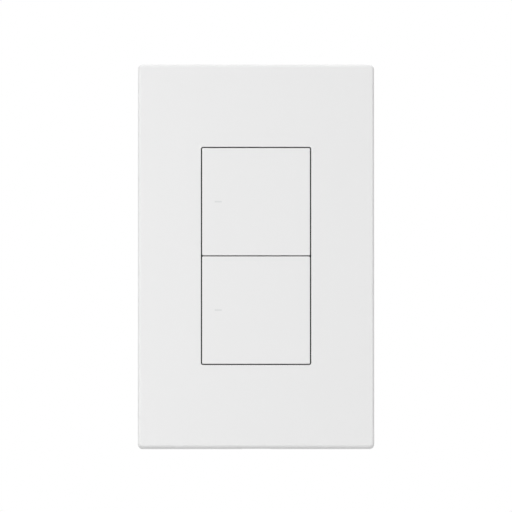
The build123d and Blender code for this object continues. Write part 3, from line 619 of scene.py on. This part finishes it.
@dataclass(frozen=True)
class Screw:
    """One machine screw, built along its own axis from the seat of its head at zero.

    The head reaches to negative depths and the shank to positive ones.
    """

    head_r: float
    head_t: float
    seat_r: float
    edge_r: float
    drive: Drive
    thread_r: float
    length: float
    neck_r: float = 0.0
    neck_end: float = 0.0
    pitch: float = 0.794 * MM
    thread_depth: float = 0.40 * MM
    thread_flat: float = 0.18
    tip: float = 0.4 * MM
    sink_share: float = 0.25
    slot_share: float = 0.27
    depth_share: float = 0.5
    head_steps: int = 13
    columns: int = 48
    rows_per_turn: int = 14

    def head(self) -> tuple[Points, Faces]:
        """The head as a closed shell.

        Its top is a grid over the disc: columns run across the slot, and the rows of a column spread over
        that column's chord. Height is the flat top, rounded off as a quarter circle at the rim, and drops to
        the floor of the recess inside it. Columns and rows are doubled at the recess's edges, which gives it
        upright walls.

        Returns:
            Points and faces.
        """
        half = self.head_r * self.slot_share / 2
        arm = self.head_r * self.drive.value
        x, slot, cross = self._columns(half, arm)
        chord = np.sqrt(np.maximum(self.head_r**2 - x**2, 0.0))
        share = np.sin(np.linspace(0, np.pi / 2, self.head_steps))
        inner = np.minimum(half, chord)[:, None]
        outer = inner + (chord[:, None] - inner) * share[None, :]
        middle = np.concatenate([-inner, inner], axis=1)
        z = np.concatenate([-outer[:, ::-1], middle, outer], axis=1)
        in_arm = np.zeros(z.shape[1], dtype=bool)
        in_arm[len(share):len(share) + 2] = True
        reach = np.hypot(x[:, None], z)
        past_flat = np.clip(reach - self.head_r + self.edge_r, 0.0, self.edge_r)
        top = self.head_t - self.edge_r + np.sqrt(self.edge_r**2 - past_flat**2)
        low = slot[:, None] | (cross[:, None] & in_arm[None, :])
        height = np.where(low, np.minimum(top, self.head_t * (1 - self.depth_share)), top)
        across = np.broadcast_to(x[:, None], z.shape)
        foot = self.seat_r / self.head_r
        upper = np.stack([across, -height, z], axis=-1)
        lower = np.stack([across * foot, np.zeros_like(z), z * foot], axis=-1)
        rows, columns = z.shape
        skirts = [np.stack([upper[:, side], lower[:, side]], axis=0) for side in (0, -1)]
        points = np.concatenate([part.reshape(-1, 3) for part in (upper, lower, *skirts)])
        count = rows * columns
        faces = [grid_quads(rows, columns), grid_quads(rows, columns, count)]
        faces += [grid_quads(2, rows, 2 * count + 2 * rows * side) for side in range(2)]
        return points, np.concatenate(faces)

    def _columns(self, half: float, arm: float) -> tuple[np.ndarray, np.ndarray, np.ndarray]:
        """Places of the head's columns, and whether each is inside the slot and inside the cross arm.

        They stand evenly from the slot to the arm's end, or for one slot width without an arm, and then
        closer and closer to the rim.

        Args:
            half: half of the slot's width.
            arm: half of the cross arm's length, nought for none.

        Returns:
            Places, slot flags and arm flags.
        """
        end = max(arm, 2 * half)
        within = np.linspace(half, end, self.head_steps)
        beyond = end + (self.head_r - end) * np.sin(np.linspace(0, np.pi / 2, self.head_steps))
        right = np.concatenate([[half], within, beyond])
        order = np.arange(len(right))
        right_slot = order < 1
        right_arm = order <= self.head_steps if arm else right_slot
        mirror = slice(None, None, -1)
        places = np.concatenate([-right[mirror], right])
        return places, np.r_[right_slot[mirror], right_slot], np.r_[right_arm[mirror], right_arm]

    def shank(self) -> tuple[Points, Faces]:
        """The neck and the thread as a closed shell.

        The radius is a function of the depth along the axis and the angle around it: the root, plus the
        thread's depth times a triangle wave of depth over pitch less turns, with its crests and roots cut
        flat. The thread grows out of the neck over one turn, and the tip is cut back as a chamfer.

        Returns:
            Points and faces.
        """
        start = self.neck_end
        turns = (self.length - start) / self.pitch
        depth = np.linspace(start, self.length, int(turns * self.rows_per_turn))[:, None]
        angle = np.linspace(0, 2 * np.pi, self.columns, endpoint=False)[None, :]
        wave = np.abs(2 * np.mod(depth / self.pitch - angle / (2 * np.pi), 1.0) - 1)
        ridge = np.clip((wave - self.thread_flat) / (1 - 2 * self.thread_flat), 0.0, 1.0)
        grow = np.clip((depth - start) / self.pitch, 0.0, 1.0) if start else 1.0
        root = self.thread_r - self.thread_depth
        radius = root + self.thread_depth * ridge * grow
        chamfer = self.thread_r - np.clip(depth - self.length + self.tip, 0.0, None)
        radius = np.minimum(radius, chamfer)
        sunk = -self.head_t * self.sink_share
        ends = [(sunk, 0.0), (sunk, self.neck_r or root)]
        ends += [(start, self.neck_r)] if start else []
        before = np.array(ends)
        tip = np.zeros((1, 1))
        depth = np.concatenate([before[:, :1], depth, tip + self.length])
        rings = (before[:, 1:], radius, tip)
        radius = np.concatenate([np.broadcast_to(ring, (len(ring), self.columns)) for ring in rings])
        along = np.broadcast_to(depth, radius.shape)
        points = np.stack([radius * np.cos(angle), along, radius * np.sin(angle)], axis=-1)
        return points.reshape(-1, 3), grid_quads(len(depth), self.columns, around=True)

    def shells(self, seat: np.ndarray, turn: np.ndarray) -> list[tuple[Points, Faces]]:
        """The screw's shells, set in place.

        Args:
            seat: where the seat of the head is.
            turn: a 3 by 3 turn from the screw's own axes, with its depth along Y.

        Returns:
            Points and faces of the head and the shank.
        """
        return [(points @ turn.T + seat, faces) for points, faces in (self.head(), self.shank())]


@dataclass
class FrontCover:
    """What the room sees: the wall plate, the two keys and their light guides."""

    plate: Finish = MouldedPlastic("plate_plastic", (0.80, 0.80, 0.80), Grain.SATIN, 0.42, mottle=0.004)
    key: Finish = MouldedPlastic("key_plastic", (0.80, 0.80, 0.80), Grain.SATIN, 0.40, mottle=0.004)
    guide: Finish = MouldedPlastic("guide_plastic", (0.74, 0.75, 0.75), Grain.GLOSS, 0.22, mottle=0.02)

    def build(self) -> list[bpy.types.Object]:
        """Dress the cover's solids.

        Returns:
            The pieces.
        """
        pieces = [dress("wall_plate", self.plate)]
        for place in ("upper", "lower"):
            pieces += [dress(f"{place}_key", self.key), dress(f"{place}_light_guide", self.guide)]
        return pieces


@dataclass
class MountingStrap:
    """The steel yoke, the plate base on it, and the threaded screws of both."""

    steel: Finish = DrawnMetal("zinc_steel", (0.38, 0.39, 0.40), (0.27, 0.275, 0.28), 0.33, Run.UPRIGHT)
    bright: Finish = SCREW_ZINC
    green: Finish = WornDip("ground_green", (0.025, 0.20, 0.06), (0.55, 0.56, 0.52), 0.36)
    base: Finish = MouldedPlastic("base_plastic", (0.70, 0.70, 0.68), Grain.SATIN, 0.50, mottle=0.015)
    thread_r: float = 1.75 * MM
    box_head_t: float = 2.2 * MM
    box_neck_end: float = 1.9 * MM
    neck_step: float = 0.35 * MM
    ground_head_t: float = 2.0 * MM
    flat_head_t: float = 1.9 * MM
    round_share: float = 0.33

    def build(self) -> list[bpy.types.Object]:
        """Dress the strap and its base, and make the threaded screws.

        Returns:
            The pieces.
        """
        pieces = [dress("yoke", self.steel), dress("plate_base", self.base)]
        return pieces + [self.box_screws(), self.plate_screws(), self.ground_screw()]

    def pan_screw(self, head_r: float, head_t: float, length: float, **neck: float) -> Screw:
        """A screw with a rounded head and a cross recess.

        Args:
            head_r: the head's radius.
            head_t: its height.
            length: the shank's length under the head.
            neck: the radius and end of a plain neck, if it has one.

        Returns:
            The screw.
        """
        return Screw(head_r, head_t, head_r, head_t * self.round_share, Drive.SLOT_AND_CROSS, self.thread_r,
                     length, **neck)

    def pair(self, node: str, screw: Screw, seat_y: float) -> list[tuple[Points, Faces]]:
        """A screw at the top and at the foot of a node's box, pointing into the wall.

        Args:
            node: the solid whose ends give the heights.
            screw: the screw.
            seat_y: the depth of the head's seat.

        Returns:
            Points and faces of both screws.
        """
        low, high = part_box(node)
        heights = (low.z + screw.head_r, high.z - screw.head_r)
        seats = [np.array((0.0, seat_y, height)) for height in heights]
        return [shell for seat in seats for shell in screw.shells(seat, np.eye(3))]

    def box_screws(self) -> bpy.types.Object:
        """The two long screws into the wall box.

        Returns:
            The piece.
        """
        low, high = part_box("box_screws")
        seat = low.y + self.box_head_t
        screw = self.pan_screw((high.x - low.x) / 2, self.box_head_t, high.y - seat,
                               neck_r=self.thread_r - self.neck_step, neck_end=self.box_neck_end)
        piece = mesh_piece("box_screws_threaded", self.pair("box_screws", screw, seat))
        return adopt(piece, self.bright, "zinc_steel", "housing", "box_screws")

    def plate_screws(self) -> bpy.types.Object:
        """The two flat-head screws of the plate base.

        Returns:
            The piece.
        """
        low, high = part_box("plate_screws")
        seat = low.y + self.flat_head_t
        screw = Screw((high.x - low.x) / 2, self.flat_head_t, self.thread_r, 0.0, Drive.SLOT, self.thread_r,
                      high.y - seat)
        piece = mesh_piece("plate_screws_threaded", self.pair("plate_screws", screw, seat))
        return adopt(piece, self.bright, "zinc_steel", "housing", "plate_screws")

    def ground_screw(self) -> bpy.types.Object:
        """The green ground screw, turned so that its shank points along +X.

        Returns:
            The piece.
        """
        low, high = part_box("ground_screw")
        seat = low.x + self.ground_head_t
        screw = self.pan_screw((high.z - low.z) / 2, self.ground_head_t, high.x - seat)
        turn = np.array(((0.0, 1.0, 0.0), (-1.0, 0.0, 0.0), (0.0, 0.0, 1.0)))
        middle = np.array((seat, (low.y + high.y) / 2, (low.z + high.z) / 2))
        piece = mesh_piece("ground_screw_threaded", screw.shells(middle, turn))
        return adopt(piece, self.green, "ground_green", "housing", "ground_screw")


@dataclass
class WallHousing:
    """The black deck behind the keys, the charcoal box in the wall and its four long screws."""

    deck: Finish = MouldedPlastic("deck_plastic", (0.02, 0.02, 0.022), Grain.SATIN, 0.55, mottle=0.1)
    case: Finish = MouldedPlastic("case_plastic", (0.045, 0.047, 0.05), Grain.SPARK, 0.54, mottle=0.45)
    bright: Finish = SCREW_ZINC
    mark: Finish = MouldedPlastic("mark_ink", (0.50, 0.51, 0.52), Grain.SATIN, 0.50, mottle=0.05)
    mark_height: float = 4.2 * MM
    mark_inset: float = 2.8 * MM
    mark_rise: float = 0.22 * MM
    mark_sink: float = 0.10 * MM
    panel_depth: float = 0.3 * MM

    def build(self) -> list[bpy.types.Object]:
        """Dress the housing's solids and raise a mark beside each terminal.

        Returns:
            The pieces.
        """
        pieces = [dress("front_housing", self.deck), dress("rear_housing", self.case)]
        pieces.append(dress("case_screws", self.bright))
        marks = {"line": "L", "neutral": "N", "load_1": "1", "load_2": "2"}
        return pieces + [self.raised_mark(f"terminal_{name}", text) for name, text in marks.items()]

    def raised_mark(self, node: str, text: str) -> bpy.types.Object:
        """One plain letter or number on the back panel, level with a terminal, readable from behind.

        Args:
            node: the terminal's solid.
            text: the letter or number.

        Returns:
            The piece.
        """
        low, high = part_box(node)
        curve = bpy.data.curves.new(f"mark_{node}", "FONT")
        curve.body = text
        curve.align_x = curve.align_y = "CENTER"
        curve.size = self.mark_height
        curve.extrude = (self.mark_rise + self.mark_sink) / 2
        holder = bpy.data.objects.new(f"mark_{node}", curve)
        mesh = bpy.data.meshes.new_from_object(holder)
        bpy.data.objects.remove(holder)
        points = np.empty(len(mesh.vertices) * 3, dtype=np.float32)
        mesh.vertices.foreach_get("co", points)
        local = points.reshape(-1, 3)
        towards = 1.0 if low.x < 0 else -1.0
        edge = high.x if low.x < 0 else low.x
        x = edge + towards * (self.mark_inset + self.mark_height / 2)
        y = high.y - self.panel_depth + (self.mark_rise - self.mark_sink) / 2
        placed = np.stack([x - local[:, 0], y + local[:, 2], (low.z + high.z) / 2 + local[:, 1]], axis=-1)
        mesh.vertices.foreach_set("co", placed.astype(np.float32).ravel())
        mesh.update()
        piece = bpy.data.objects.new(f"mark_{node}", mesh)
        bpy.context.scene.collection.objects.link(piece)
        return adopt(piece, self.mark, "case_plastic", "housing")


@dataclass
class WireTerminals:
    """The four grey terminal blocks with their brass cages and clamp screws."""

    block: Finish = MouldedPlastic("terminal_plastic", (0.30, 0.31, 0.32), Grain.SATIN, 0.46, mottle=0.03)
    brass: Finish = DrawnMetal("brass", (0.76, 0.57, 0.26), (0.58, 0.40, 0.16), 0.30, Run.DEEP)
    screw: Finish = DrawnMetal("clamp_zinc", (0.66, 0.65, 0.62), (0.54, 0.53, 0.49), 0.30, Run.ACROSS)

    def build(self) -> list[bpy.types.Object]:
        """Dress the terminals' solids.

        Returns:
            The pieces.
        """
        blocks = [dress(f"terminal_{name}", self.block) for name in ("line", "neutral", "load_1", "load_2")]
        return blocks + [dress("terminal_cages", self.brass), dress("terminal_screws", self.screw)]


@dataclass
class Electronics:
    """The boards and the sealed parts on them, inside the housing."""

    board: Finish = Laminate("board_green", (0.02, 0.14, 0.06))
    chip: Finish = MouldedPlastic("chip_plastic", (0.02, 0.02, 0.02), Grain.SPARK, 0.50, mottle=0.1)
    plunger: Finish = MouldedPlastic("plunger_plastic", (0.10, 0.10, 0.10), Grain.SATIN, 0.40, mottle=0.05)
    lamp: Finish = MouldedPlastic("lamp_resin", (0.80, 0.74, 0.45), Grain.GLOSS, 0.15, mottle=0.08,
                                  clouds=900.0)
    shield: Finish = DrawnMetal("shield_steel", (0.68, 0.68, 0.66), (0.58, 0.58, 0.56), 0.26, Run.ACROSS)
    cover: Finish = DrawnMetal("tact_steel", (0.62, 0.62, 0.60), (0.52, 0.52, 0.50), 0.30, Run.ACROSS)
    pin: Finish = DrawnMetal("pin_brass", (0.76, 0.57, 0.26), (0.66, 0.48, 0.20), 0.24, Run.DEEP)
    small: Finish = SCREW_ZINC
    sheet: Finish = MouldedPlastic("sheet_film", (0.55, 0.55, 0.50), Grain.SATIN, 0.48, mottle=0.05,
                                   clouds=160.0)
    relay: Finish = MouldedPlastic("relay_plastic", (0.02, 0.08, 0.28), Grain.SATIN, 0.32, mottle=0.05)
    ferrite: Finish = MouldedPlastic("ferrite", (0.05, 0.05, 0.055), Grain.SPARK, 0.55, mottle=0.15,
                                     clouds=700.0)
    tape: Finish = BandedWrap("winding_tape", (0.65, 0.46, 0.05), Axis.Y, 2.4 * MM)
    film_box: Finish = MouldedPlastic("film_box", (0.45, 0.42, 0.36), Grain.SATIN, 0.35, mottle=0.04)
    coat: Finish = MouldedPlastic("varistor_coat", (0.04, 0.12, 0.30), Grain.GLOSS, 0.28, mottle=0.08,
                                  clouds=400.0)
    tube: Finish = MouldedPlastic("fuse_body", (0.55, 0.50, 0.42), Grain.SPARK, 0.50, mottle=0.06,
                                  clouds=500.0)
    can_colour: Colour = (0.02, 0.025, 0.05)

    def build(self) -> list[bpy.types.Object]:
        """Dress every inner solid.

        Returns:
            The pieces.
        """
        wear: dict[str, Finish] = {
            "control_board": self.board, "radio_board": self.board, "power_board": self.board,
            "control_chips": self.chip, "power_chips": self.chip, "link_strip": self.chip,
            "radio_shield": self.shield, "link_pins": self.pin, "board_screws": self.small,
            "insulating_sheet": self.sheet, "relay_1": self.relay, "relay_2": self.relay,
            "transformer_core": self.ferrite, "choke": self.ferrite, "transformer_winding": self.tape,
            "filter_capacitor": self.film_box, "varistor": self.coat, "fuse": self.tube,
        }
        wear |= {node: self.can(node) for node in ("input_capacitor", "output_capacitor")}
        for place in ("upper", "lower"):
            wear |= {f"{place}_tact_body": self.chip, f"{place}_tact_cover": self.cover}
            wear |= {f"{place}_tact_plunger": self.plunger, f"{place}_indicator_lamp": self.lamp}
        return [dress(node, finish) for node, finish in wear.items()]

    def can(self, node: str) -> Finish:
        """The sleeve of one electrolytic can, with its stripe and end placed by the solid's box.

        Args:
            node: the can's solid.

        Returns:
            The finish.
        """
        low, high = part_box(node)
        middle, radius = (low.x + high.x) / 2, (high.x - low.x) / 2
        return SleevedCan(f"{node}_sleeve", self.can_colour, middle, low.y, radius)


@dataclass(frozen=True)
class Lamp:
    """One square soft lamp, aimed at the middle of the object."""

    name: str
    at: tuple[float, float, float]
    level: float
    size: float

    def hang(self) -> None:
        """Make the lamp, with the power that lights a white card facing it to its level.

        A square lamp of some watts gives watts / pi per steradian along its axis, so a white card at a
        distance shines with watts over the square of pi times that distance.
        """
        data = bpy.data.lights.new(self.name, "AREA")
        data.size = self.size
        data.energy = self.level * (math.pi * math.dist(self.at, (0.0, 0.0, 0.0)))**2
        lamp = bpy.data.objects.new(self.name, data)
        lamp.location = self.at
        lamp.rotation_euler = (-lamp.location).to_track_quat("-Z", "Y").to_euler()
        bpy.context.scene.collection.objects.link(lamp)


@dataclass
class Studio:
    """The pale floor, the soft lamps and the camera, set out from where the keys fall in the picture.

    The switch hangs on its box screws as it would on a wall, so the floor is some way below it.
    """

    image_px: float = 512.0
    plate_wide_px: float = 236.2
    field_centre_px: tuple[float, float] = (256.05, 255.85)
    camera_far: float = 5.0
    camera_low_deg: float = 4.0
    sensor: float = 36.0
    world_level: float = 0.40
    floor_colour: Colour = (0.62, 0.62, 0.62)
    floor_white: float = 0.85
    floor_size: float = 8.0
    floor_points: int = 3
    floor_drop: float = 0.6
    floor_fade: float = 2.2
    lamps: tuple[Lamp, ...] = (
        Lamp("key_light", (-0.40, -0.70, 0.00), 0.53, 0.6),
        Lamp("fill_light", (0.90, -0.80, 0.05), 0.17, 0.8),
        Lamp("top_light", (-0.15, -0.30, 1.40), 0.45, 1.3),
        Lamp("back_light", (0.60, 1.20, 0.90), 0.40, 0.8),
    )

    def build(self) -> None:
        """Set the view, the world, the floor, the lamps and the camera."""
        bpy.context.scene.view_settings.view_transform = "Standard"
        self.world()
        self.floor()
        for lamp in self.lamps:
            lamp.hang()
        self.camera()

    @staticmethod
    def shown(graph: Graph) -> Socket:
        """One for rays that carry the picture: from the camera, off gloss, or through clear pieces.

        Args:
            graph: the tree to add it to.

        Returns:
            One for those rays, and nought for all others.
        """
        rays = [graph.node("ShaderNodeLightPath", output=kind)
                for kind in ("Is Camera Ray", "Is Glossy Ray", "Is Transmission Ray")]
        return (rays[0] + rays[1] + rays[2]).at_most(1.0)

    def world(self) -> None:
        """A white surround that lights the object at a plain level and shows as white."""
        world = bpy.data.worlds.new("studio")
        bpy.context.scene.world = world
        world.use_nodes = True
        graph = Graph(world.node_tree)
        shown = self.shown(graph)
        level = shown + (1 - shown) * self.world_level
        white = graph.node("ShaderNodeBackground", inputs={"Color": WHITE, "Strength": level})
        graph.node("ShaderNodeOutputWorld", inputs={"Surface": white})

    def floor(self) -> None:
        """A pale level floor, some way below the switch."""
        side = np.linspace(-self.floor_size / 2, self.floor_size / 2, self.floor_points)
        x, y = np.meshgrid(side, side)
        points = np.stack([x, y, np.full_like(x, -self.floor_drop)], axis=-1).reshape(-1, 3)
        mesh = bpy.data.meshes.new("floor")
        mesh.from_pydata(points.tolist(), [], grid_quads(len(side), len(side)).tolist())
        mesh.materials.append(self.floor_paint())
        floor = bpy.data.objects.new("floor", mesh)
        bpy.context.scene.collection.objects.link(floor)

    def floor_paint(self) -> bpy.types.Material:
        """The floor's paint: whitened for the picture but keeping part of the shadow, and clear from below.

        The white grows with the distance from the middle, so the floor has no edge against the surround.

        Returns:
            The material.
        """
        material = bpy.data.materials.new("floor_paint")
        material.use_nodes = True
        graph = Graph(material.node_tree)
        shade = graph.node("ShaderNodeBsdfDiffuse", inputs={"Color": self.floor_colour})
        white = graph.node("ShaderNodeEmission", inputs={"Color": WHITE, "Strength": 1.0})
        away = graph.node("ShaderNodeVectorMath", {"operation": "LENGTH"}, {0: graph.place()}, "Value")
        far = (away * (1 / self.floor_fade)).at_most(1.0)
        share = self.shown(graph) * (self.floor_white + far * (1 - self.floor_white))
        upper = graph.node("ShaderNodeMixShader", inputs={0: share, 1: shade, 2: white})
        below = graph.node("ShaderNodeNewGeometry", output="Backfacing")
        clear = graph.node("ShaderNodeBsdfTransparent")
        mixed = graph.node("ShaderNodeMixShader", inputs={0: below, 1: upper, 2: clear})
        graph.node("ShaderNodeOutputMaterial", inputs={"Surface": mixed})
        return material

    def camera(self) -> None:
        """A long lens a little below the keys, framed so that the plate falls on its place in the picture."""
        low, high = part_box("wall_plate")
        scale = (high.x - low.x) / self.plate_wide_px
        across, down = (self.image_px / 2 - place for place in self.field_centre_px)
        tilt = math.radians(self.camera_low_deg)
        data = bpy.data.cameras.new("camera")
        data.sensor_width = self.sensor
        data.lens = self.sensor * self.camera_far / (scale * self.image_px)
        camera = bpy.data.objects.new("camera", data)
        camera.location = (across * scale, low.y - self.camera_far * math.cos(tilt),
                           -down * scale - self.camera_far * math.sin(tilt))
        camera.rotation_euler = (math.pi / 2 + tilt, 0.0, 0.0)
        bpy.context.scene.collection.objects.link(camera)
        bpy.context.scene.camera = camera


def main() -> None:
    """Build each sub-assembly in order and report its pieces."""
    logging.basicConfig(level=logging.INFO, format="%(message)s")
    Studio().build()
    for assembly in (FrontCover(), MountingStrap(), WallHousing(), WireTerminals(), Electronics()):
        for piece in assembly.build():
            log.info("%s: %s, %d faces", type(assembly).__name__, piece.name, len(piece.data.polygons))


if __name__ == "__main__":
    main()
